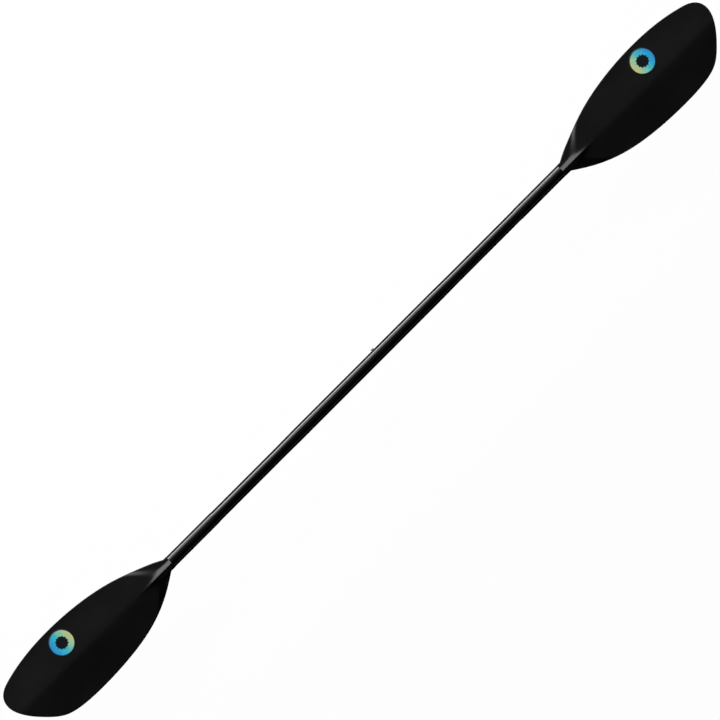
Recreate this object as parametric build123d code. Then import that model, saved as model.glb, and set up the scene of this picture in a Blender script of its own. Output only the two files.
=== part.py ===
"""Two-piece kayak paddle with a push-button ferrule.

Millimetres. The origin is on the shaft's axis, at the seam between the two halves.
+X runs along the shaft towards the right (socket) half, +Y lies in the blades' plane
towards their longer edge, and +Z is the side of the power faces.
"""
from build123d import *
import math
import os

# --- driving dimensions -------------------------------------------------------
PADDLE_LENGTH = 2200.0
BLADE_LENGTH = 484.0
TUBE_RADIUS = 15.0
BORE_RADIUS = 13.2
NECK_X = PADDLE_LENGTH / 2 - BLADE_LENGTH      # where each tube ends and its blade begins

# hand grips: the tube is slightly flattened between these stations
GRIP_START_X = 215.0
GRIP_FULL_X = 270.0
GRIP_STEP_X = 479.0
GRIP_STEP_LENGTH = 6.0
GRIP_HALF_WIDTH = 14.4

# blade plate; a pair of numbers gives the distances from the neck over which a change is spread
COLLAR_HALF_WIDTH = 15.4
UPPER_COLLAR = 9.5                             # straight lengths of the collar's two sides
LOWER_COLLAR = 14.0
SPIGOT_LENGTH = 60.0
SPIGOT_RADIUS = BORE_RADIUS - 0.05
SPIGOT_CHAMFER = 1.5
SPIGOT_CORE_RADIUS = 9.0                       # the moulded spigot is hollow
SPIGOT_FLOOR = 4.0
CORE_THICKNESS = 4.0
EDGE_THICKNESS = 2.4
EDGE_REACH = 88.0
TIP_THINNING = (300, BLADE_LENGTH)
TIP_SHARE = 0.2                                # share of the thinning that happens towards the tip
DIHEDRAL_SLOPE = 0.065
DIHEDRAL_ROUNDING = 5.0
DIHEDRAL_AT_NECK = 0.35
DIHEDRAL_GROWTH = (0, 150)
SPOON_RISE = 20.0
CURL = 1.3                                     # how far the long edges curl up
RIDGE_Y = -3.5                                 # the ridge lies a little off the axis

# power face at the neck: a crest between low webs, then the raised face beyond a chevron
FACE_RISE = 4.4
FACE_FADE = (100, 300)
WEB_RISE = 4.0
WEB_FADE = (8, 75)
WEB_SINK = 0.8
WEB_SINK_SPAN = (30, 80)
WEB_START_Y = 14.0                             # the webs are sunk fully this far from the ridge
CHEVRON_START = 32.0
CHEVRON_SLOPE = 0.9
CHEVRON_BEND = 0.003
CHEVRON_COSINE = 0.68
CHEVRON_SOFTNESS = 12.0
CREST_NECK = 13.9
CREST_END = 5.6
CREST_FALL_SPAN = (30, 86)
CREST_RUNOUT = 8.0
CREST_RUNOUT_SPAN = (74, 160)
CREST_ROUNDING = 4.0
ROOF_SLOPE = 0.95
FILLET_NECK = 3.0
FILLET_GROWTH = 1.0
FILLET_GROWTH_SPAN = (20, 50)
FILLET_FADE = (70, 120)

# back face at the neck: a rounded spine between webs
BACK_WEB_RISE = 4.6
BACK_WEB_FADE = (15, 115)
BACK_FOLLOW = 0.8                              # the back stands forward with the raised face
BACK_FOLLOW_SPAN = (10, 90)
SPINE_RISE = 8.1
SPINE_FADE = (20, 270)
SPINE_WIDTH = 11.0
SPINE_FLARE = 0.02

# stations of the face surfaces, which are larger than the outline
FACE_MARGIN = 14.0
FACE_HALF_SPAN = 110.0
NECK_STEP = 6.5
NECK_STATIONS = 19
BODY_STEP = 18.5
BODY_STATIONS = 21
ACROSS_STATIONS = 16
ACROSS_CROWDING = 1.7
FACE_DEPTH = 80.0
PRISM_HALF = 50.0

# badge: a printed disc on each power face
BADGE_RADIUS = 30.0
BADGE_S = 299.0                                # from the neck junction
BADGE_Y = 44.5
BADGE_THICKNESS = 0.22
BADGE_GLUE = 0.02

# ferrule
FERRULE_RADIUS = 11.55
FERRULE_BORE = 9.6
FERRULE_REACH = 110.0                          # how far it stands out of the left half
FERRULE_ROOT = 60.0                            # how much of it is bonded in the left half
BOND_GAP = 0.05
FERRULE_TIP_CHAMFER = 1.0
LINER_RADIUS = BORE_RADIUS - BOND_GAP
LINER_BORE = 11.6
LINER_LENGTH = 122.0
LINER_SETBACK = 0.3
END_PLUG_LENGTH = 10.0
END_PLUG_FLANGE = 1.5
END_PLUG_INSET = 1.2
END_PLUG_CHAMFER = 0.6

# O-ring
RING_X = 12.0
GROOVE_RADIUS = 10.2
GROOVE_WIDTH = 2.2
RING_SECTION_RADIUS = 0.62
RING_RADIUS = 10.87

# snap button and its spring
BUTTON_X = 35.5
BUTTON_RADIUS = 3.5
BUTTON_TOP = 19.2
BUTTON_DOME = 1.6
BUTTON_FLANGE_RADIUS = 4.8
BUTTON_FLANGE_TOP = 8.2
BUTTON_FLANGE_THICKNESS = 1.2
RIVET_NECK_RADIUS = 1.6
RIVET_HEAD_RADIUS = 2.6
RIVET_HEAD_THICKNESS = 0.6
FERRULE_HOLE_RADIUS = 3.65
SOCKET_HOLE_RADIUS = 3.75
HOLE_CUTTER_Y = 14.0
HOLE_CUTTER_LENGTH = 12.0
FEATHER_ANGLE = 60.0
SPRING_THICKNESS = 0.7
SPRING_WIDTH = 7.0
SPRING_BEND_X = -14.0
SPRING_BEND_RADIUS = 4.0
SPRING_TOP_END_X = 42.0
SPRING_FLAT_X = 28.0
SPRING_LOWER_END_X = 48.0
SPRING_LOWER_Y = -8.1

# foam bulkheads
FOAM_RADIUS = BORE_RADIUS - 0.1
FOAM_LENGTH = 25.0
FOAM_GAP = 6.0

# outline of the right blade: distance from the neck junction, distance from the axis
UPPER_EDGE = [(32, 27.0), (55, 36.7), (121, 61), (202, 78.7), (300, 86), (389, 80.4), (442, 69.4),
              (464, 61.2), (478, 48.6)]
TIP = (484, 29)
LOWER_EDGE = [(474, -5), (442, -46), (405, -76), (362, -87.3), (295, -90.5), (202, -85.3),
              (121, -69.4), (55, -41)]


# --- small helpers -------------------------------------------------------------
def smooth(start, end, value):
    """0 before start, 1 after end, and a smooth S between them."""
    t = min(max((value - start) / (end - start), 0.0), 1.0)
    return t * t * (3 - 2 * t)


def rod(radius, x_start, x_end):
    """A round bar along X."""
    bar = Cylinder(radius, x_end - x_start)
    return Pos((x_start + x_end) / 2, 0, 0) * (Rot(0, 90, 0) * bar)


def tube(outer, inner, x_start, x_end):
    """A round tube along X."""
    return rod(outer, x_start, x_end) - rod(inner, x_start - 1, x_end + 1)


def radial_hole(radius, angle):
    """A cutter through the wall at the button's station, angle degrees from +Y towards +Z."""
    cutter = Rot(-90, 0, 0) * Cylinder(radius, HOLE_CUTTER_LENGTH)
    return Rot(angle, 0, 0) * (Pos(BUTTON_X, HOLE_CUTTER_Y, 0) * cutter)


# --- blade -----------------------------------------------------------------------
def blade_middle(s, y):
    """Height of the blade's middle surface: a shallow spoon with a dihedral and curled edges."""
    spoon = SPOON_RISE * (s / BLADE_LENGTH) ** 2
    ridge = math.hypot(y - RIDGE_Y, DIHEDRAL_ROUNDING) - DIHEDRAL_ROUNDING
    curl = CURL * (ridge / EDGE_REACH) ** 3
    grown = DIHEDRAL_AT_NECK + (1 - DIHEDRAL_AT_NECK) * smooth(*DIHEDRAL_GROWTH, s)
    return spoon + (curl - DIHEDRAL_SLOPE * ridge) * grown


def half_thickness(s, y):
    """Half of the plate's thickness: fullest along the axis, thin at the edge."""
    fade = smooth(0, EDGE_REACH, abs(y)) * (1 - TIP_SHARE) + smooth(*TIP_THINNING, s) * TIP_SHARE
    return (CORE_THICKNESS + (EDGE_THICKNESS - CORE_THICKNESS) * fade) / 2


def neck_rise(s, y):
    """How far the plate stands forward: low webs at the neck, raised beyond a chevron."""
    off = abs(y - RIDGE_Y)
    web = WEB_RISE * (1 - smooth(*WEB_FADE, s)) - WEB_SINK * smooth(*WEB_SINK_SPAN, s)
    face = FACE_RISE * (1 - smooth(*FACE_FADE, s))
    chevron = CHEVRON_START + CHEVRON_SLOPE * off + CHEVRON_BEND * off ** 2
    raised = smooth(-CHEVRON_SOFTNESS, CHEVRON_SOFTNESS, (s - chevron) * CHEVRON_COSINE)
    sunken = (1 - raised) * smooth(0, WEB_START_Y, off)
    return face + (web - face) * sunken


def front_height(s, y):
    """Height of the power face, with the crest that runs out of the neck."""
    base = blade_middle(s, y) + half_thickness(s, y) + neck_rise(s, y)
    fall = (CREST_NECK - CREST_END) * smooth(*CREST_FALL_SPAN, s)
    fall += CREST_RUNOUT * smooth(*CREST_RUNOUT_SPAN, s)
    slant = ROOF_SLOPE * (math.hypot(y - RIDGE_Y, CREST_ROUNDING) - CREST_ROUNDING)
    roof = CREST_NECK - fall - slant
    growth = smooth(*FILLET_GROWTH_SPAN, s) * (1 - smooth(*FILLET_FADE, s))
    fillet = FILLET_NECK + FILLET_GROWTH * growth
    return (base + roof + math.hypot(base - roof, fillet)) / 2


def back_height(s, y):
    """Height of the back face, with a rounded spine that runs out into the plate."""
    web = BACK_WEB_RISE * (1 - smooth(*BACK_WEB_FADE, s))
    spine_width = SPINE_WIDTH + SPINE_FLARE * s
    spine = SPINE_RISE * (1 - smooth(*SPINE_FADE, s)) * math.exp(-(y / spine_width) ** 2)
    follow = BACK_FOLLOW * smooth(*BACK_FOLLOW_SPAN, s) * neck_rise(s, y)
    return blade_middle(s, y) - half_thickness(s, y) + follow - web - spine


def face_stations():
    """Stations along and across the blade, closer together at the neck and along the ridge."""
    along = [-FACE_MARGIN + NECK_STEP * i for i in range(NECK_STATIONS)]
    along += [along[-1] + BODY_STEP * i for i in range(1, BODY_STATIONS + 1)]
    shares = [i / ACROSS_STATIONS for i in range(ACROSS_STATIONS + 1)]
    half = [FACE_HALF_SPAN * share ** ACROSS_CROWDING for share in shares]
    across = [RIDGE_Y - y for y in reversed(half[1:])] + [RIDGE_Y + y for y in half]
    return along, across


def face_surface(height, rise=0.0):
    """One face of the blade as a smooth surface, larger than the outline."""
    along, across = face_stations()
    grid = [[Vector(s, y, height(s, y) + rise) for y in across] for s in along]
    return Face.make_surface_from_array_of_points(grid, tol=0.1, min_deg=3, max_deg=3)


def blade_outline():
    """The blade's outline on the XY plane, starting as the straight collar at the neck."""
    upper_corner = (UPPER_COLLAR, COLLAR_HALF_WIDTH)
    lower_corner = (LOWER_COLLAR, -COLLAR_HALF_WIDTH)
    edge = Edge.make_spline([upper_corner, *UPPER_EDGE, TIP, *LOWER_EDGE, lower_corner])
    collar = [lower_corner, (0, -COLLAR_HALF_WIDTH), (0, COLLAR_HALF_WIDTH), upper_corner]
    sides = [Edge.make_line(a, b) for a, b in zip(collar, collar[1:])]
    return Face(Wire([edge, *sides]))


def slab(face, direction):
    """Everything on one side of a face surface: direction is 1 above it and -1 below it."""
    return Solid.extrude(face, Vector(0, 0, FACE_DEPTH * direction))


def make_blade():
    """The right blade with its glued spigot, from the neck junction at X = 0."""
    prism = Solid.extrude(Pos(0, 0, -PRISM_HALF) * blade_outline(), Vector(0, 0, 2 * PRISM_HALF))
    plate = prism & slab(face_surface(front_height), -1)
    plate = plate & slab(face_surface(back_height), 1)
    spigot = rod(SPIGOT_RADIUS, -SPIGOT_LENGTH, 0)
    spigot = chamfer(spigot.edges().sort_by(Axis.X)[0], SPIGOT_CHAMFER)
    core = rod(SPIGOT_CORE_RADIUS, -SPIGOT_LENGTH - 1, -SPIGOT_FLOOR)
    return plate + spigot - core


def make_badge():
    """The printed disc on the right blade's power face."""
    disc = Pos(BADGE_S, BADGE_Y, 0) * Cylinder(BADGE_RADIUS, FACE_DEPTH)
    top = slab(face_surface(front_height, BADGE_GLUE + BADGE_THICKNESS), -1)
    under = slab(face_surface(front_height, BADGE_GLUE), 1)
    return disc & top & under


def place(part, side):
    """Put a right-hand blade piece on its half: side is 1 for right and -1 for left."""
    placed = Pos(NECK_X, 0, 0) * part
    return placed if side > 0 else placed.mirror(Plane.YZ)


# --- shaft -----------------------------------------------------------------------
def grip_section(x, half_width):
    """The tube's outer section at one station: half_width is measured in the blades' plane."""
    plane = Plane(origin=(x, 0, 0), x_dir=(0, 1, 0), z_dir=(1, 0, 0))
    if half_width == TUBE_RADIUS:
        return plane * Circle(TUBE_RADIUS)
    return plane * Ellipse(half_width, TUBE_RADIUS)


def make_shaft():
    """The right tube, with its flattened hand grip."""
    grip_end_x = GRIP_STEP_X - GRIP_STEP_LENGTH
    outer = rod(TUBE_RADIUS, 0, GRIP_START_X)
    outer += loft([grip_section(GRIP_START_X, TUBE_RADIUS), grip_section(GRIP_FULL_X, GRIP_HALF_WIDTH)])
    outer += extrude(grip_section(GRIP_FULL_X, GRIP_HALF_WIDTH), grip_end_x - GRIP_FULL_X)
    outer += loft([grip_section(grip_end_x, GRIP_HALF_WIDTH), grip_section(GRIP_STEP_X, TUBE_RADIUS)])
    outer += rod(TUBE_RADIUS, GRIP_STEP_X, NECK_X)
    return outer - rod(BORE_RADIUS, -1, NECK_X + 1)


def make_right_shaft():
    """The socket half's tube, with the button's two holes."""
    shaft = make_shaft()
    for angle in (0, -FEATHER_ANGLE):
        shaft -= radial_hole(SOCKET_HOLE_RADIUS, angle)
    return shaft


# --- ferrule ----------------------------------------------------------------------
def make_male_ferrule():
    """Stepped tube: bonded in the left half, and standing out of it as the plug."""
    body = rod(LINER_RADIUS, -FERRULE_ROOT, 0) + rod(FERRULE_RADIUS, 0, FERRULE_REACH)
    body = chamfer(body.edges().sort_by(Axis.X)[-1], FERRULE_TIP_CHAMFER)
    body -= rod(FERRULE_BORE, -FERRULE_ROOT - 1, FERRULE_REACH + 1)
    groove = tube(FERRULE_RADIUS + 1, GROOVE_RADIUS, RING_X - GROOVE_WIDTH / 2, RING_X + GROOVE_WIDTH / 2)
    return body - groove - radial_hole(FERRULE_HOLE_RADIUS, 0)


def make_female_ferrule():
    """Liner sleeve bonded in the socket half's mouth."""
    liner = tube(LINER_RADIUS, LINER_BORE, LINER_SETBACK, LINER_LENGTH)
    for angle in (0, -FEATHER_ANGLE):
        liner -= radial_hole(SOCKET_HOLE_RADIUS, angle)
    return liner


def make_ring():
    """O-ring, drawn at the section that it has when squeezed."""
    return Pos(RING_X, 0, 0) * (Rot(0, 90, 0) * Torus(RING_RADIUS, RING_SECTION_RADIUS))


def make_end_plug():
    """Moulded plug in the ferrule's free end, with a thin flange outside."""
    stem = rod(FERRULE_BORE - BOND_GAP, FERRULE_REACH - END_PLUG_LENGTH, FERRULE_REACH)
    flange = rod(FERRULE_RADIUS - END_PLUG_INSET, FERRULE_REACH, FERRULE_REACH + END_PLUG_FLANGE)
    flange = chamfer(flange.edges().sort_by(Axis.X)[-1], END_PLUG_CHAMFER)
    return stem + flange


def make_foam(x_start):
    """Closed-cell foam bulkhead inside a tube."""
    return rod(FOAM_RADIUS, x_start, x_start + FOAM_LENGTH)


# --- snap button --------------------------------------------------------------------
def make_button():
    """Steel button with a flange, riveted through the leaf spring; turned about Y."""
    flange_bottom = BUTTON_FLANGE_TOP - BUTTON_FLANGE_THICKNESS
    rivet_top = flange_bottom - SPRING_THICKNESS - 0.1
    rivet_bottom = rivet_top - RIVET_HEAD_THICKNESS
    straight_top = BUTTON_TOP - BUTTON_DOME
    profile = Polyline(
        (BUTTON_RADIUS, straight_top),
        (BUTTON_RADIUS, BUTTON_FLANGE_TOP),
        (BUTTON_FLANGE_RADIUS, BUTTON_FLANGE_TOP),
        (BUTTON_FLANGE_RADIUS, flange_bottom),
        (RIVET_NECK_RADIUS, flange_bottom),
        (RIVET_NECK_RADIUS, rivet_top),
        (RIVET_HEAD_RADIUS, rivet_top),
        (RIVET_HEAD_RADIUS, rivet_bottom),
        (0, rivet_bottom),
        (0, BUTTON_TOP),
    )
    crown = (0, BUTTON_TOP)
    shoulder = (0.62 * BUTTON_RADIUS, BUTTON_TOP - 0.32 * BUTTON_DOME)
    dome = ThreePointArc(crown, shoulder, (BUTTON_RADIUS, straight_top))
    turned = revolve(make_face([*profile.edges(), dome]), Axis.Y)
    return Pos(BUTTON_X, 0, 0) * turned


def make_spring():
    """V-shaped leaf spring: the button's leg above, the foot along the far wall."""
    top_y = BUTTON_FLANGE_TOP - BUTTON_FLANGE_THICKNESS - 0.05 - SPRING_THICKNESS / 2
    bend_top_y = SPRING_LOWER_Y + 2 * SPRING_BEND_RADIUS
    line = Polyline((SPRING_TOP_END_X, top_y), (SPRING_FLAT_X, top_y), (SPRING_BEND_X, bend_top_y))
    line = line.edges()
    bend_far = (SPRING_BEND_X - SPRING_BEND_RADIUS, SPRING_LOWER_Y + SPRING_BEND_RADIUS)
    bend = ThreePointArc((SPRING_BEND_X, bend_top_y), bend_far, (SPRING_BEND_X, SPRING_LOWER_Y))
    foot = Line((SPRING_BEND_X, SPRING_LOWER_Y), (SPRING_LOWER_END_X, SPRING_LOWER_Y))
    path = Wire([*line, *bend.edges(), *foot.edges()])
    strip = Face(path.offset_2d(SPRING_THICKNESS / 2, side=Side.BOTH))
    leaf = Pos(0, 0, -SPRING_WIDTH / 2) * Solid.extrude(strip, Vector(0, 0, SPRING_WIDTH))
    hole = Pos(BUTTON_X, top_y, 0) * (Rot(-90, 0, 0) * Cylinder(RIVET_NECK_RADIUS + 0.05, 3))
    return leaf - hole


# --- assembly ---------------------------------------------------------------------------
def build():
    """Every piece at rest, by name."""
    blade = make_blade()
    badge = make_badge()
    left_foam_x = -FERRULE_ROOT - FOAM_GAP - FOAM_LENGTH
    right_foam_x = LINER_LENGTH + FOAM_GAP
    return {
        "left_blade": place(blade, -1),
        "right_blade": place(blade, 1),
        "left_badge": place(badge, -1),
        "right_badge": place(badge, 1),
        "left_shaft": make_shaft().mirror(Plane.YZ),
        "right_shaft": make_right_shaft(),
        "male_ferrule": make_male_ferrule(),
        "female_ferrule": make_female_ferrule(),
        "ferrule_oring": make_ring(),
        "ferrule_end_plug": make_end_plug(),
        "snap_button": make_button(),
        "button_spring": make_spring(),
        "left_foam_plug": make_foam(left_foam_x),
        "right_foam_plug": make_foam(right_foam_x),
    }


os.makedirs("parts", exist_ok=True)
for name, part in build().items():
    export_step(part, f"parts/{name}.step")
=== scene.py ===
"""Looks of the two-piece kayak paddle: metres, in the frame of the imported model.

X runs along the shaft, Y lies in the blades' plane and Z points out of the power faces.
Lengths named *_MM are in millimetres, as in the drawing of the blade.
"""
import math

import bpy
import numpy as np
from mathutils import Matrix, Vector


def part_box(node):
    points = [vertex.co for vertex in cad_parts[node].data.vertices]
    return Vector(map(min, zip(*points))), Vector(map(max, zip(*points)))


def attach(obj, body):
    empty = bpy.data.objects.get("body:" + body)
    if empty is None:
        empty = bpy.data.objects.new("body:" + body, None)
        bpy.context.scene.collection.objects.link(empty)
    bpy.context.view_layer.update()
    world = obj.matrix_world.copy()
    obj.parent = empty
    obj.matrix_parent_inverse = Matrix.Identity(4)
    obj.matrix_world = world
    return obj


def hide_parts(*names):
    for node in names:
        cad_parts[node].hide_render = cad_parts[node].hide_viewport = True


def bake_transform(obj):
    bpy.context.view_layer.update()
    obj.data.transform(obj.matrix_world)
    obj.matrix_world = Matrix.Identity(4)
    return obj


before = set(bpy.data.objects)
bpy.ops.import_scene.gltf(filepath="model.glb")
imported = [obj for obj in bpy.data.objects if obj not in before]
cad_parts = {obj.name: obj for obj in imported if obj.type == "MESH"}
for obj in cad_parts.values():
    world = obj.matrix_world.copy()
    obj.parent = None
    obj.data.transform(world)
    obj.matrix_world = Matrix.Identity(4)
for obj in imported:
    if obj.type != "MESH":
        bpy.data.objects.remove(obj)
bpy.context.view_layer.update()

MM = 0.001

# --- the blade's drawing, in millimetres from the neck junction and from the axis -----------
BLADE_LENGTH_MM = 484.0
COLLAR_HALF_WIDTH_MM = 15.4
UPPER_COLLAR_MM = 9.5
LOWER_COLLAR_MM = 14.0
SPIGOT_LENGTH_MM = 60.0
SPIGOT_RADIUS_MM = 13.15
SPIGOT_CORE_RADIUS_MM = 9.0
SPIGOT_CORE_END_MM = -4.0
SPIGOT_CHAMFER_MM = 1.5
CORE_THICKNESS_MM = 4.0
EDGE_THICKNESS_MM = 2.4
EDGE_REACH_MM = 88.0               # how far the long edges stand from the axis
TIP_THINNING_MM = (300, BLADE_LENGTH_MM)
TIP_SHARE = 0.2                    # share of the thinning that happens towards the tip
DIHEDRAL_SLOPE = 0.065
DIHEDRAL_ROUNDING_MM = 5.0
DIHEDRAL_AT_NECK = 0.35            # share of the dihedral that the neck already has
DIHEDRAL_GROWTH_MM = (0, 150)
CURL_MM = 1.3                      # how far the long edges curl up
SPOON_RISE_MM = 20.0
UPPER_EDGE = [(32, 27.0), (55, 36.7), (121, 61), (202, 78.7), (300, 86), (389, 80.4), (442, 69.4),
              (464, 61.2), (478, 48.6)]
TIP = (484, 29)
LOWER_EDGE = [(474, -5), (442, -46), (405, -76), (362, -87.3), (295, -90.5), (202, -85.3),
              (121, -69.4), (55, -41)]
RIDGE_Y_MM = -3.5                  # the ridge lies a little off the axis
WEB_RISE_MM = 4.0
WEB_FADE_MM = (8, 75)
WEB_SINK_MM = 0.8
WEB_SINK_SPAN_MM = (30, 80)
WEB_START_Y_MM = 14.0              # the webs are sunk fully this far from the ridge
FACE_RISE_MM = 4.4
FACE_FADE_MM = (100, 300)
CHEVRON_START_MM = 32.0            # the raised face starts at a chevron: this far out on the ridge,
CHEVRON_SLOPE = 0.9                # sloping back on both sides,
CHEVRON_BEND = 0.003               # more and more,
CHEVRON_COSINE = 0.68              # with its step measured square to its edge
CHEVRON_SOFTNESS_MM = 10.0
CHEVRON_SHARPENING_MM = 4.0
CHEVRON_SHARPENING_SPAN_MM = (10, 45)
CREST_NECK_MM = 13.9
CREST_END_MM = 5.6
CREST_FALL_SPAN_MM = (30, 86)
CREST_RUNOUT_MM = 8.0
CREST_RUNOUT_SPAN_MM = (74, 160)
CREST_ROUNDING_MM = 1.6
ROOF_SLOPE = 0.95
FILLET_NECK_MM = 1.2
FILLET_GROWTH_MM = 2.3
FILLET_GROWTH_SPAN_MM = (20, 50)
FILLET_FADE_MM = (70, 120)
BACK_WEB_RISE_MM = 4.6
BACK_WEB_FADE_MM = (15, 115)
BACK_FOLLOW = 0.8                  # the back stands forward with the raised face
BACK_FOLLOW_SPAN_MM = (10, 90)
SPINE_RISE_MM = 8.1
SPINE_FADE_MM = (20, 270)
SPINE_WIDTH_MM = 11.0
SPINE_FLARE = 0.02
EDGE_RADIUS_MM = 1.1
NECK_EDGE_RADIUS_MM = 1.6
NECK_EDGE_SPAN_MM = (10, 120)
NECK_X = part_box("right_shaft")[1].x

# --- the blade's mesh -----------------------------------------------------------------------
COLUMNS = 46                       # mesh columns on each side of the axis
NECK_ZONE_END_MM = 90
BODY_ZONE_END_MM = 430
ZONE_STATIONS = (54, 62, 46)       # cross-sections in the neck, in the body and at the tip
TIP_CROWDING = 2.2
MIDDLE_BEND_START_MM = 300         # the middle column bends from here towards the tip

# --- the badge ----------------------------------------------------------------------------
BADGE_RADIUS_MM = 30.0
BADGE_S_MM = 299.0
BADGE_Y_MM = 44.5
BADGE_HEIGHT_MM = 0.24
BADGE_EDGE_MM = 0.1                # width of the rounded edge,
BADGE_EDGE_SHARE = 0.8             # which starts at this share of the height
BADGE_EDGE_FOOT_MM = 0.03          # and ends at this height
BADGE_RINGS = 24
BADGE_SPOKES = 96
PRINT_LOBES = 12                   # scallops round the dark window, in shares of the radius below:
PRINT_LOBE_DEPTH = 0.035
PRINT_WINDOW = (0.46, 0.49)        # the window ends between these two,
PRINT_RIM = (0.92, 0.94)           # and the dark rim starts between these two
PRINT_DRIFT = 0.9                  # how far the colours wander from straight bands

# --- the shaft ----------------------------------------------------------------------------
GRIP_START_X = 0.215               # the grip is polished between these two stations,
GRIP_STEP_X = 0.479                # softly glossy inside them and satin outside them
GRIP_START_BLEND = (0.02, 0.03)    # the gloss changes over this much before and after the start,
GRIP_STEP_BLEND = 0.002            # and this much on each side of the step
POLISHED_ROUGHNESS = 0.12
MIDDLE_ROUGHNESS = 0.20
SATIN_GAIN = 0.12


# --- node helpers ---------------------------------------------------------------------------
def new_material(name):
    """An empty node material with its Principled shader and its link helper."""
    material = bpy.data.materials.new(name)
    material.use_nodes = True
    tree = material.node_tree
    tree.nodes.clear()
    output = tree.nodes.new("ShaderNodeOutputMaterial")
    shader = tree.nodes.new("ShaderNodeBsdfPrincipled")
    tree.links.new(shader.outputs["BSDF"], output.inputs["Surface"])
    return material, tree, shader


def put(tree, value, socket):
    """Link an output to a socket, or set the socket's constant."""
    if isinstance(value, bpy.types.NodeSocket):
        tree.links.new(value, socket)
    else:
        socket.default_value = value


def position(tree, stretch=(1, 1, 1)):
    """Object coordinates, stretched."""
    coordinates = tree.nodes.new("ShaderNodeTexCoord")
    mapping = tree.nodes.new("ShaderNodeMapping")
    mapping.inputs["Scale"].default_value = stretch
    tree.links.new(coordinates.outputs["Object"], mapping.inputs["Vector"])
    return mapping.outputs["Vector"]


def noise(tree, vector, scale, detail=3.0, roughness=0.5):
    """A noise pattern, 0 to 1."""
    node = tree.nodes.new("ShaderNodeTexNoise")
    node.inputs["Scale"].default_value = scale
    node.inputs["Detail"].default_value = detail
    node.inputs["Roughness"].default_value = roughness
    tree.links.new(vector, node.inputs["Vector"])
    return node.outputs["Fac"]


def spread(tree, value, low, high, from_low=0.3, from_high=0.7):
    """Map a 0 to 1 pattern onto low to high."""
    node = tree.nodes.new("ShaderNodeMapRange")
    put(tree, value, node.inputs["Value"])
    node.inputs["From Min"].default_value = from_low
    node.inputs["From Max"].default_value = from_high
    node.inputs["To Min"].default_value = low
    node.inputs["To Max"].default_value = high
    return node.outputs["Result"]


def calc(tree, operation, a, b=0.0, c=0.0):
    """One math node."""
    node = tree.nodes.new("ShaderNodeMath")
    node.operation = operation
    for value, socket in zip((a, b, c), node.inputs):
        put(tree, value, socket)
    return node.outputs["Value"]


def length(tree, a, b):
    """Length of the plane vector (a, b)."""
    squares = calc(tree, "ADD", calc(tree, "POWER", a, 2.0), calc(tree, "POWER", b, 2.0))
    return calc(tree, "SQRT", squares)


def mix_color(tree, factor, a, b):
    """Blend of two colours by a pattern."""
    node = tree.nodes.new("ShaderNodeMix")
    node.data_type = "RGBA"
    put(tree, factor, node.inputs["Factor"])
    put(tree, a, node.inputs[6])
    put(tree, b, node.inputs[7])
    return node.outputs[2]


def bump(tree, height, distance, strength=1.0, under=None):
    """Bump of a height pattern; distance is in metres."""
    node = tree.nodes.new("ShaderNodeBump")
    node.inputs["Strength"].default_value = strength
    node.inputs["Distance"].default_value = distance
    tree.links.new(height, node.inputs["Height"])
    if under is not None:
        tree.links.new(under, node.inputs["Normal"])
    return node.outputs["Normal"]


# --- materials ------------------------------------------------------------------------------
def nylon():
    """Black glass-filled nylon: fine moulded grain with faint flow streaks along the blade."""
    material, tree, shader = new_material("blade_nylon")
    here = position(tree)
    along = position(tree, (0.25, 1.0, 1.0))
    streaks = noise(tree, along, 60, 4.0, 0.55)
    grain = noise(tree, here, 1400, 2.0)
    clouds = noise(tree, here, 9, 2.0)
    dark, light = (0.0030, 0.0029, 0.0033, 1), (0.0048, 0.0046, 0.0052, 1)
    tone = mix_color(tree, spread(tree, streaks, 0, 1), dark, light)
    tree.links.new(tone, shader.inputs["Base Color"])
    rough = calc(tree, "ADD", spread(tree, clouds, 0.40, 0.48), spread(tree, grain, -0.03, 0.03))
    tree.links.new(rough, shader.inputs["Roughness"])
    shader.inputs["Specular IOR Level"].default_value = 0.30
    soft = bump(tree, streaks, 0.0002, 0.15)
    tree.links.new(bump(tree, grain, 0.00004, 0.5, soft), shader.inputs["Normal"])
    return material


def shaft_composite():
    """Black composite tube: polished grips, a softer gloss between them and satin ends."""
    material, tree, shader = new_material("shaft_composite")
    coordinates = tree.nodes.new("ShaderNodeTexCoord")
    axes = tree.nodes.new("ShaderNodeSeparateXYZ")
    tree.links.new(coordinates.outputs["Object"], axes.inputs["Vector"])
    distance = calc(tree, "ABSOLUTE", axes.outputs["X"])
    before, after = GRIP_START_BLEND
    outside = spread(tree, distance, 0, 1, GRIP_STEP_X - GRIP_STEP_BLEND, GRIP_STEP_X + GRIP_STEP_BLEND)
    middle = spread(tree, distance, 1, 0, GRIP_START_X - before, GRIP_START_X + after)
    along = position(tree, (0.02, 1.0, 1.0))
    streaks = noise(tree, along, 500, 3.0)
    grain = noise(tree, position(tree), 1800, 2.0)
    dark, light = (0.003, 0.003, 0.004, 1), (0.006, 0.006, 0.007, 1)
    tone = mix_color(tree, spread(tree, streaks, 0, 1), dark, light)
    tree.links.new(tone, shader.inputs["Base Color"])
    inner_rough = spread(tree, middle, POLISHED_ROUGHNESS, MIDDLE_ROUGHNESS, 0, 1)
    grip_rough = calc(tree, "ADD", inner_rough, spread(tree, outside, 0, SATIN_GAIN, 0, 1))
    rough = calc(tree, "ADD", grip_rough, spread(tree, streaks, -0.02, 0.02))
    tree.links.new(rough, shader.inputs["Roughness"])
    shader.inputs["Specular IOR Level"].default_value = 0.5
    wrapped = bump(tree, streaks, 0.00005, 0.3)
    tree.links.new(bump(tree, grain, 0.00002, 0.3, wrapped), shader.inputs["Normal"])
    return material


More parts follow.
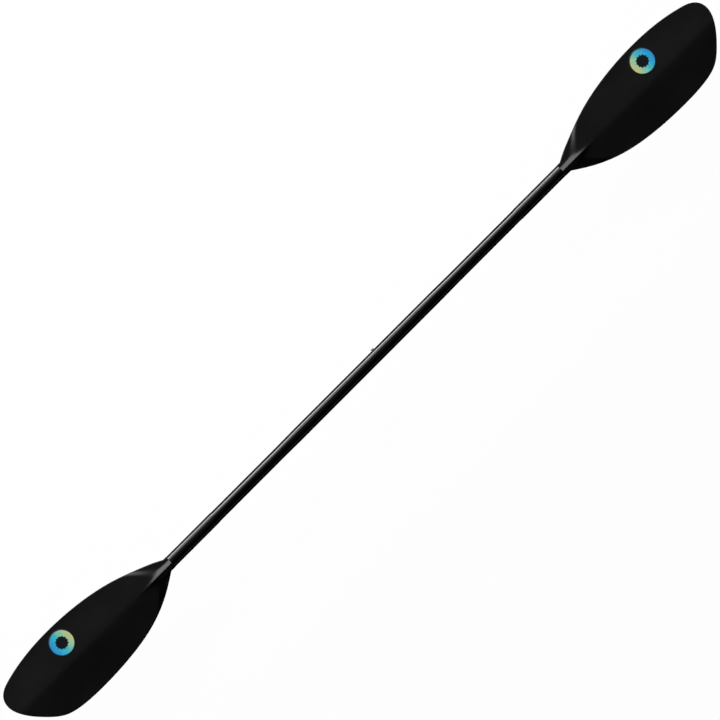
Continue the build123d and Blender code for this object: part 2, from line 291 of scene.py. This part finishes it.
def laminate(name, dark, light, rough):
    """Glass-fibre laminate: crossed bundles of fibres under resin."""
    material, tree, shader = new_material(name)
    here = position(tree)
    fibres = tree.nodes.new("ShaderNodeTexWave")
    fibres.wave_type = "BANDS"
    fibres.bands_direction = "DIAGONAL"
    fibres.inputs["Scale"].default_value = 260
    fibres.inputs["Distortion"].default_value = 1.5
    fibres.inputs["Detail"].default_value = 2.0
    tree.links.new(here, fibres.inputs["Vector"])
    cloud = noise(tree, here, 120, 3.0)
    pattern = calc(tree, "MULTIPLY", fibres.outputs["Fac"], cloud)
    tone = mix_color(tree, spread(tree, pattern, 0, 1, 0.1, 0.6), dark, light)
    tree.links.new(tone, shader.inputs["Base Color"])
    tree.links.new(spread(tree, cloud, rough - 0.06, rough + 0.06), shader.inputs["Roughness"])
    tree.links.new(bump(tree, fibres.outputs["Fac"], 0.00005, 0.4), shader.inputs["Normal"])
    return material


def turned_steel(name, tone, rough, stretch):
    """Steel with fine drawn or turned lines."""
    material, tree, shader = new_material(name)
    lines = noise(tree, position(tree, stretch), 2600, 3.0)
    darker = tuple(0.82 * t for t in tone)
    color = mix_color(tree, spread(tree, lines, 0, 1), darker + (1,), tone + (1,))
    tree.links.new(color, shader.inputs["Base Color"])
    shader.inputs["Metallic"].default_value = 1.0
    tree.links.new(spread(tree, lines, rough - 0.05, rough + 0.08), shader.inputs["Roughness"])
    tree.links.new(bump(tree, lines, 0.00001, 0.4), shader.inputs["Normal"])
    return material


def rubber():
    """Smooth black nitrile rubber with a greased sheen."""
    material, tree, shader = new_material("ring_rubber")
    bloom = noise(tree, position(tree), 700, 3.0)
    dark, light = (0.010, 0.010, 0.010, 1), (0.022, 0.022, 0.021, 1)
    tone = mix_color(tree, spread(tree, bloom, 0, 1), dark, light)
    tree.links.new(tone, shader.inputs["Base Color"])
    tree.links.new(spread(tree, bloom, 0.32, 0.5), shader.inputs["Roughness"])
    tree.links.new(bump(tree, bloom, 0.00001, 0.3), shader.inputs["Normal"])
    return material


def moulded_plug():
    """Black moulded polyethylene, slightly waxy."""
    material, tree, shader = new_material("plug_plastic")
    pores = noise(tree, position(tree), 1500, 2.0)
    dark, light = (0.016, 0.016, 0.017, 1), (0.026, 0.026, 0.027, 1)
    tone = mix_color(tree, spread(tree, pores, 0, 1), dark, light)
    tree.links.new(tone, shader.inputs["Base Color"])
    tree.links.new(spread(tree, pores, 0.38, 0.5), shader.inputs["Roughness"])
    tree.links.new(bump(tree, pores, 0.00003, 0.4), shader.inputs["Normal"])
    return material


def foam():
    """Closed-cell foam: small crowded cells."""
    material, tree, shader = new_material("bulkhead_foam")
    cells = tree.nodes.new("ShaderNodeTexVoronoi")
    cells.inputs["Scale"].default_value = 900
    tree.links.new(position(tree), cells.inputs["Vector"])
    edge = cells.outputs["Distance"]
    dark, light = (0.48, 0.46, 0.42, 1), (0.78, 0.76, 0.71, 1)
    tone = mix_color(tree, spread(tree, edge, 0, 1, 0.1, 0.7), dark, light)
    tree.links.new(tone, shader.inputs["Base Color"])
    shader.inputs["Roughness"].default_value = 0.85
    tree.links.new(bump(tree, edge, 0.0003, 0.7), shader.inputs["Normal"])
    return material


def badge_print():
    """Printed disc: a ring that runs from yellow to teal to blue, round a dark scalloped window."""
    material, tree, shader = new_material("badge_print")
    coordinates = tree.nodes.new("ShaderNodeTexCoord")
    axes = tree.nodes.new("ShaderNodeSeparateXYZ")
    tree.links.new(coordinates.outputs["Object"], axes.inputs["Vector"])
    radius_m = BADGE_RADIUS_MM * MM
    outward = calc(tree, "DIVIDE", axes.outputs["X"], radius_m)
    across = calc(tree, "DIVIDE", axes.outputs["Y"], radius_m)
    flat = tree.nodes.new("ShaderNodeCombineXYZ")
    tree.links.new(outward, flat.inputs["X"])
    tree.links.new(across, flat.inputs["Y"])
    wobble = noise(tree, flat.outputs["Vector"], 3.0, 3.0)
    drift = calc(tree, "MULTIPLY", calc(tree, "SUBTRACT", wobble, 0.5), PRINT_DRIFT)
    place = calc(tree, "ADD", outward, drift)
    ramp = tree.nodes.new("ShaderNodeValToRGB")
    elements = ramp.color_ramp.elements
    stops = [(0.0, (0.86, 0.74, 0.24, 1)),
             (0.22, (0.52, 0.80, 0.44, 1)),
             (0.45, (0.10, 0.70, 0.68, 1)),
             (0.72, (0.04, 0.55, 0.90, 1)),
             (1.0, (0.03, 0.30, 0.80, 1))]
    for index, (at, color) in enumerate(stops):
        element = elements[index] if index < 2 else elements.new(at)
        element.position = at
        element.color = color
    tree.links.new(spread(tree, place, 0, 1, -1, 1), ramp.inputs["Fac"])
    reach = length(tree, outward, across)
    bearing = calc(tree, "ARCTAN2", across, outward)
    lobes = calc(tree, "COSINE", calc(tree, "MULTIPLY", bearing, PRINT_LOBES))
    scalloped = calc(tree, "ADD", reach, calc(tree, "MULTIPLY", lobes, PRINT_LOBE_DEPTH))
    window = spread(tree, scalloped, 1, 0, *PRINT_WINDOW)
    tone = mix_color(tree, window, ramp.outputs["Color"], (0.006, 0.008, 0.012, 1))
    tone = mix_color(tree, spread(tree, reach, 0, 1, *PRINT_RIM), tone, (0.01, 0.02, 0.035, 1))
    tree.links.new(tone, shader.inputs["Base Color"])
    grain = noise(tree, coordinates.outputs["Object"], 1500, 2.0)
    tree.links.new(spread(tree, grain, 0.28, 0.36), shader.inputs["Roughness"])
    tree.links.new(bump(tree, grain, 0.00001, 0.3), shader.inputs["Normal"])
    return material


# --- blade geometry, on numpy arrays in millimetres ---------------------------------------------
def smooth(start, end, value):
    """0 before start, 1 after end, and a smooth S between them."""
    t = np.clip((value - start) / (end - start), 0.0, 1.0)
    return t * t * (3 - 2 * t)


def spline(points, per_span=40):
    """A smooth curve through the points: natural cubic over the chord length."""
    points = np.array(points, float)
    chord = np.hypot(*np.diff(points, axis=0).T)
    knots = np.concatenate([[0], np.cumsum(chord)])
    count = len(points)
    matrix = np.eye(count)
    right = np.zeros((count, 2))
    slopes = np.diff(points, axis=0) / chord[:, None]
    for i in range(1, count - 1):
        matrix[i, i - 1:i + 2] = chord[i - 1], 2 * (chord[i - 1] + chord[i]), chord[i]
        right[i] = 6 * (slopes[i] - slopes[i - 1])
    bends = np.linalg.solve(matrix, right)
    curve = []
    for i, h in enumerate(chord):
        t = np.linspace(0, h, per_span, endpoint=False)[:, None]
        rest = h - t
        curve.append(bends[i] * rest ** 3 / (6 * h) + bends[i + 1] * t ** 3 / (6 * h)
                     + (points[i] / h - bends[i] * h / 6) * rest
                     + (points[i + 1] / h - bends[i + 1] * h / 6) * t)
    curve.append(points[-1:])
    return np.concatenate(curve)


def blade_middle(s, y):
    """Height of the blade's middle surface: a shallow spoon with a dihedral."""
    spoon = SPOON_RISE_MM * (s / BLADE_LENGTH_MM) ** 2
    ridge = np.hypot(y - RIDGE_Y_MM, DIHEDRAL_ROUNDING_MM) - DIHEDRAL_ROUNDING_MM
    curl = CURL_MM * np.abs(ridge / EDGE_REACH_MM) ** 3
    growth = DIHEDRAL_AT_NECK + (1 - DIHEDRAL_AT_NECK) * smooth(*DIHEDRAL_GROWTH_MM, s)
    return spoon + (curl - DIHEDRAL_SLOPE * ridge) * growth


def half_thickness(s, y):
    """Half of the plate's thickness: fullest along the ridge, thin at the edge."""
    outwards = smooth(0, EDGE_REACH_MM, np.abs(y)) * (1 - TIP_SHARE)
    fade = outwards + smooth(*TIP_THINNING_MM, s) * TIP_SHARE
    return (CORE_THICKNESS_MM + (EDGE_THICKNESS_MM - CORE_THICKNESS_MM) * fade) / 2


def neck_rise(s, y):
    """How far the plate stands forward: low webs at the neck, raised beyond a chevron."""
    off = np.abs(y - RIDGE_Y_MM)
    web = WEB_RISE_MM * (1 - smooth(*WEB_FADE_MM, s)) - WEB_SINK_MM * smooth(*WEB_SINK_SPAN_MM, s)
    face = FACE_RISE_MM * (1 - smooth(*FACE_FADE_MM, s))
    chevron = CHEVRON_START_MM + CHEVRON_SLOPE * off + CHEVRON_BEND * off ** 2
    softness = CHEVRON_SOFTNESS_MM - CHEVRON_SHARPENING_MM * smooth(*CHEVRON_SHARPENING_SPAN_MM, off)
    beyond = smooth(-softness, softness, (s - chevron) * CHEVRON_COSINE)
    sunken = (1 - beyond) * smooth(0, WEB_START_Y_MM, off)
    return face + (web - face) * sunken


def front_height(s, y):
    """Height of the power face, with the crest that runs out of the neck."""
    base = blade_middle(s, y) + half_thickness(s, y) + neck_rise(s, y)
    crest = (CREST_NECK_MM + (CREST_END_MM - CREST_NECK_MM) * smooth(*CREST_FALL_SPAN_MM, s)
             - CREST_RUNOUT_MM * smooth(*CREST_RUNOUT_SPAN_MM, s))
    roof = crest - ROOF_SLOPE * (np.hypot(y - RIDGE_Y_MM, CREST_ROUNDING_MM) - CREST_ROUNDING_MM)
    growth = smooth(*FILLET_GROWTH_SPAN_MM, s)
    fillet = FILLET_NECK_MM + FILLET_GROWTH_MM * growth * (1 - smooth(*FILLET_FADE_MM, s))
    return (base + roof + np.hypot(base - roof, fillet)) / 2


def back_height(s, y):
    """Height of the back face, with a rounded spine that runs out into the plate."""
    web = BACK_WEB_RISE_MM * (1 - smooth(*BACK_WEB_FADE_MM, s))
    spine_width = SPINE_WIDTH_MM + SPINE_FLARE * s
    spine = SPINE_RISE_MM * (1 - smooth(*SPINE_FADE_MM, s)) * np.exp(-(y / spine_width) ** 2)
    follow = BACK_FOLLOW * smooth(*BACK_FOLLOW_SPAN_MM, s) * neck_rise(s, y)
    return blade_middle(s, y) - half_thickness(s, y) + follow - web - spine


def blade_stations():
    """Distances from the neck junction, crowded at the neck and at the tip."""
    neck_count, body_count, tip_count = ZONE_STATIONS
    neck = np.linspace(0, NECK_ZONE_END_MM, neck_count, endpoint=False)
    body = np.linspace(NECK_ZONE_END_MM, BODY_ZONE_END_MM, body_count, endpoint=False)
    tip = TIP[0] - (TIP[0] - BODY_ZONE_END_MM) * (1 - np.linspace(0, 1, tip_count)) ** TIP_CROWDING
    return np.concatenate([neck, body, tip])


def blade_loops():
    """Closed rings of points from the spigot's bottom to the tip, in the right blade's own frame."""
    upper_corner = (UPPER_COLLAR_MM, COLLAR_HALF_WIDTH_MM)
    lower_corner = (LOWER_COLLAR_MM, -COLLAR_HALF_WIDTH_MM)
    edge = spline([upper_corner, *UPPER_EDGE, TIP, *LOWER_EDGE, lower_corner])
    edge = np.concatenate([[(0, COLLAR_HALF_WIDTH_MM)], edge, [(0, -COLLAR_HALF_WIDTH_MM)]])
    turn = int(np.argmax(edge[:, 0]))
    stations = np.minimum(blade_stations(), edge[turn, 0])
    upper = np.interp(stations, edge[:turn + 1, 0], edge[:turn + 1, 1])
    lower = np.interp(stations, edge[turn:, 0][::-1], edge[turn:, 1][::-1])
    bend = (stations - MIDDLE_BEND_START_MM) / (edge[turn, 0] - MIDDLE_BEND_START_MM)
    middle = edge[turn, 1] * np.clip(bend, 0, 1) ** 3
    ease = (1 - np.cos(np.linspace(0, math.pi, COLUMNS + 1))) / 2
    above = middle[:, None] + (upper - middle)[:, None] * ease[::-1]
    below = middle[:, None] + (lower - middle)[:, None] * ease[1:]
    y = np.concatenate([above, below], axis=1)
    s = np.repeat(stations[:, None], y.shape[1], axis=1)
    inset = edge_distance(s, y, edge)
    at_neck = 1 - smooth(*NECK_EDGE_SPAN_MM, s)
    radius = EDGE_RADIUS_MM + (NECK_EDGE_RADIUS_MM - EDGE_RADIUS_MM) * at_neck
    fullness = np.sqrt(1 - (1 - np.clip(inset / radius, 0, 1)) ** 2)
    front = front_height(s, y)
    back = back_height(s, y)
    centre = (front + back) / 2
    front = centre + (front - centre) * fullness
    back = centre + (back - centre) * fullness
    upper_side = np.stack([s, y, front], axis=2)
    under_side = np.stack([s, y, back], axis=2)[:, -2:0:-1]
    return np.concatenate([upper_side, under_side], axis=1)


def edge_distance(s, y, edge, per_step=6, batch=2000):
    """Distance of each point from the outline's long curve, worked out in batches to save memory."""
    fine = np.concatenate([np.linspace(a, b, per_step, endpoint=False) for a, b in zip(edge, edge[1:])])
    flat = np.stack([s.ravel(), y.ravel()], axis=1)
    nearest = np.empty(len(flat))
    for start in range(0, len(flat), batch):
        gaps = flat[start:start + batch, None, :] - fine[None]
        nearest[start:start + batch] = np.sqrt((gaps ** 2).sum(2).min(1))
    return nearest.reshape(s.shape)


def round_loop(like, radius, s):
    """A circle whose points lie at the same angles as those of a ring."""
    angles = np.arctan2(like[:, 2], like[:, 1])
    return np.stack([np.full(len(like), s), radius * np.cos(angles), radius * np.sin(angles)], axis=1)


def add_mesh(name, points, faces, material, sharp_degrees=35.0):
    """A smooth mesh object from points in metres."""
    mesh = bpy.data.meshes.new(name)
    mesh.from_pydata([tuple(p) for p in points], [], faces)
    mesh.validate()
    mesh.shade_smooth()
    mesh.set_sharp_from_angle(angle=math.radians(sharp_degrees))
    mesh.materials.append(material)
    piece = bpy.data.objects.new(name, mesh)
    bpy.context.scene.collection.objects.link(piece)
    return piece


def make_blade(side, material):
    """One moulded blade with its hollow spigot: side is 1 for the right and -1 for the left."""
    rings = blade_loops()
    first = rings[0]
    spigot = [round_loop(first, SPIGOT_CORE_RADIUS_MM, SPIGOT_CORE_END_MM),
              round_loop(first, SPIGOT_CORE_RADIUS_MM, -SPIGOT_LENGTH_MM),
              round_loop(first, SPIGOT_RADIUS_MM - SPIGOT_CHAMFER_MM, -SPIGOT_LENGTH_MM),
              round_loop(first, SPIGOT_RADIUS_MM, SPIGOT_CHAMFER_MM - SPIGOT_LENGTH_MM),
              round_loop(first, SPIGOT_RADIUS_MM, 0.0)]
    rings = np.concatenate([np.array(spigot), rings[:-1]])
    count = rings.shape[1]
    points = rings.reshape(-1, 3)
    tip_s, tip_y = TIP
    tip_z = (front_height(tip_s, tip_y) + back_height(tip_s, tip_y)) / 2
    points = np.concatenate([points, [(tip_s, tip_y, tip_z), (SPIGOT_CORE_END_MM, 0, 0)]])
    tip_index, core_index = len(points) - 2, len(points) - 1
    faces = []
    for ring in range(len(rings) - 1):
        for i in range(count):
            j = (i + 1) % count
            a, b = ring * count, (ring + 1) * count
            faces.append((a + i, a + j, b + j, b + i))
    last = (len(rings) - 1) * count
    for i in range(count):
        j = (i + 1) % count
        faces.append((last + i, last + j, tip_index))
        faces.append((j, i, core_index))
    if side > 0:
        faces = [face[::-1] for face in faces]
    placed = points * MM + (NECK_X, 0, 0)
    placed[:, 0] *= side
    name = "right_blade_moulding" if side > 0 else "left_blade_moulding"
    return add_mesh(name, placed, faces, material)


def make_badge(side, material):
    """The printed disc, draped over the power face; its own origin is at its middle."""
    angles = np.linspace(0, 2 * math.pi, BADGE_SPOKES, endpoint=False)
    radii = list(np.linspace(0, 1, BADGE_RINGS + 1)[1:] * BADGE_RADIUS_MM)
    lifts = [BADGE_HEIGHT_MM] * (BADGE_RINGS - 1)
    lifts += [BADGE_HEIGHT_MM * BADGE_EDGE_SHARE, BADGE_EDGE_FOOT_MM]
    radii[-1] -= BADGE_EDGE_MM
    radii.append(BADGE_RADIUS_MM)
    points = [(0, 0, BADGE_HEIGHT_MM)]
    for radius, lift in zip(radii, lifts):
        points += [(radius * math.cos(a), radius * math.sin(a), lift) for a in angles]
    points = np.array(points)
    s = BADGE_S_MM + points[:, 0]
    y = BADGE_Y_MM + side * points[:, 1]
    centre_z = float(front_height(BADGE_S_MM, BADGE_Y_MM))
    points[:, 2] += front_height(s, y) - centre_z
    faces = []
    for i in range(BADGE_SPOKES):
        j = (i + 1) % BADGE_SPOKES
        faces.append((0, 1 + i, 1 + j))
        for ring in range(len(radii) - 1):
            a, b = 1 + ring * BADGE_SPOKES, 1 + (ring + 1) * BADGE_SPOKES
            faces.append((a + i, b + i, b + j, a + j))
    name = "right_badge_print" if side > 0 else "left_badge_print"
    piece = add_mesh(name, points * MM, faces, material, 60)
    piece.rotation_euler.z = 0 if side > 0 else math.pi
    piece.location = (side * (NECK_X + BADGE_S_MM * MM), BADGE_Y_MM * MM, centre_z * MM)
    return piece


def make_spring(material):
    """The leaf spring under the button: a copy of the drawn spring, in steel, set where the drawn one
    stood.
    """
    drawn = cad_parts["button_spring"]
    mesh = drawn.data.copy()
    mesh.materials.clear()
    mesh.materials.append(material)
    leaf = bpy.data.objects.new("button_leaf_spring", mesh)
    leaf.matrix_world = drawn.matrix_world.copy()
    bpy.context.scene.collection.objects.link(leaf)
    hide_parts("button_spring")
    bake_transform(leaf)


# --- studio ---------------------------------------------------------------------------------------
VIEW_ANGLE = math.radians(45.05)     # how far the shaft is turned from the picture's horizontal
VIEW_WIDTH = 1.6039                  # metres of the paddle's plane across the square picture
LENS_MM = 300.0
SENSOR_MM = 36.0
PICTURE_OFFSET = (0.0140, -0.0134)   # where the origin lies, right of and above the picture's centre
FLOOR_DROP = 0.11                    # clears the right blade when it is feathered
FLOOR_HALF_WIDTH = 80
FLOOR_GLOW = 0.97
SOFTBOX_REACH = 3.0
SOFTBOX_WIDTH = 6.0
SOFTBOXES = [("low_softbox", 9, 1.1, 240),      # name, degrees above the plane, height, watts
             ("mid_softbox", 34, 1.1, 58),
             ("high_softbox", 52, 0.8, 7),
             ("far_softbox", 174, 0.8, 4)]


def make_camera():
    """Straight down on the power faces, with a long lens."""
    data = bpy.data.cameras.new("camera")
    data.sensor_width = SENSOR_MM
    data.lens = LENS_MM
    distance = VIEW_WIDTH * LENS_MM / SENSOR_MM
    data.clip_end = 4 * distance
    camera = bpy.data.objects.new("camera", data)
    bpy.context.scene.collection.objects.link(camera)
    right = Vector((math.cos(VIEW_ANGLE), -math.sin(VIEW_ANGLE), 0))
    up = Vector((math.sin(VIEW_ANGLE), math.cos(VIEW_ANGLE), 0))
    camera.rotation_euler = (0, 0, -VIEW_ANGLE)
    camera.location = -right * PICTURE_OFFSET[0] - up * PICTURE_OFFSET[1] + Vector((0, 0, distance))
    bpy.context.scene.camera = camera


def add_softbox(name, place, size, power):
    """A rectangular softbox facing the origin; size is (width, height) in metres."""
    data = bpy.data.lights.new(name, "AREA")
    data.shape = "RECTANGLE"
    data.size, data.size_y = size
    data.energy = power
    lamp = bpy.data.objects.new(name, data)
    lamp.visible_camera = False
    lamp.location = place
    lamp.rotation_euler = (Vector((0, 0, 0)) - Vector(place)).to_track_quat("-Z", "Y").to_euler()
    bpy.context.scene.collection.objects.link(lamp)


def make_floor():
    """A wide pale floor under the paddle, bright enough to read as white."""
    material, tree, shader = new_material("studio_floor")
    shader.inputs["Base Color"].default_value = (0.04, 0.04, 0.04, 1)
    shader.inputs["Roughness"].default_value = 0.9
    shader.inputs["Specular IOR Level"].default_value = 0.0
    shader.inputs["Emission Color"].default_value = (1, 1, 1, 1)
    shader.inputs["Emission Strength"].default_value = FLOOR_GLOW
    corners = [(x * FLOOR_HALF_WIDTH, y * FLOOR_HALF_WIDTH, -FLOOR_DROP)
               for x, y in ((-1, -1), (1, -1), (1, 1), (-1, 1))]
    mesh = bpy.data.meshes.new("studio_floor")
    mesh.from_pydata(corners, [], [(0, 1, 2, 3)])
    mesh.materials.append(material)
    floor = bpy.data.objects.new("studio_floor", mesh)
    bpy.context.scene.collection.objects.link(floor)
    floor.visible_glossy = False
    floor.visible_diffuse = False
    floor.visible_shadow = False


def make_world():
    """A white surround for the camera, which adds no light of its own."""
    world = bpy.data.worlds.new("studio")
    world.use_nodes = True
    backdrop = world.node_tree.nodes["Background"]
    backdrop.inputs["Color"].default_value = (1, 1, 1, 1)
    backdrop.inputs["Strength"].default_value = 1.0
    world.cycles_visibility.glossy = False
    world.cycles_visibility.diffuse = False
    bpy.context.scene.world = world
    bpy.context.scene.view_settings.view_transform = "Standard"


def add_arc_softbox(name, elevation, height, power):
    """A long softbox on an arc round the shaft, at an angle above the paddle's plane."""
    angle = math.radians(elevation)
    place = (0, SOFTBOX_REACH * math.cos(angle), SOFTBOX_REACH * math.sin(angle))
    add_softbox(name, place, (SOFTBOX_WIDTH, height), power)


def make_lights():
    """Three softboxes above the longer edges, a weak one across from them and a weak one overhead."""
    for name, elevation, height, power in SOFTBOXES:
        add_arc_softbox(name, elevation, height, power)
    add_softbox("top_softbox", (0, 0.3, 5.0), (4.0, 2.0), 1.5)


# --- the paddle's pieces -----------------------------------------------------------------------------
def dress_nodes():
    """Give each kept node its material."""
    plug_foam = foam()
    tube = shaft_composite()
    dressed = {
        "left_shaft": tube,
        "right_shaft": tube,
        "male_ferrule": laminate("ferrule_composite", (0.05, 0.052, 0.055, 1), (0.13, 0.135, 0.14, 1),
                                 0.42),
        "female_ferrule": laminate("liner_composite", (0.03, 0.031, 0.033, 1), (0.09, 0.092, 0.096, 1),
                                   0.5),
        "ferrule_oring": rubber(),
        "ferrule_end_plug": moulded_plug(),
        "snap_button": turned_steel("button_steel", (0.66, 0.66, 0.65), 0.28, (1.0, 0.05, 1.0)),
        "left_foam_plug": plug_foam,
        "right_foam_plug": plug_foam,
    }
    for node, material in dressed.items():
        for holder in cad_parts[node].material_slots:
            holder.material = material


def make_pieces():
    """The moulded blades, their printed badges and the button's spring."""
    make_spring(turned_steel("spring_steel", (0.42, 0.43, 0.46), 0.3, (0.05, 1.0, 1.0)))
    moulding = nylon()
    ink = badge_print()
    for side, half in ((-1, "left"), (1, "right")):
        blade = make_blade(side, moulding)
        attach(blade, f"{half}_half")
        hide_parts(f"{half}_blade")
        badge = make_badge(side, ink)
        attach(badge, f"{half}_half")
        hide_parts(f"{half}_badge")


dress_nodes()
make_pieces()
make_world()
make_floor()
make_lights()
make_camera()
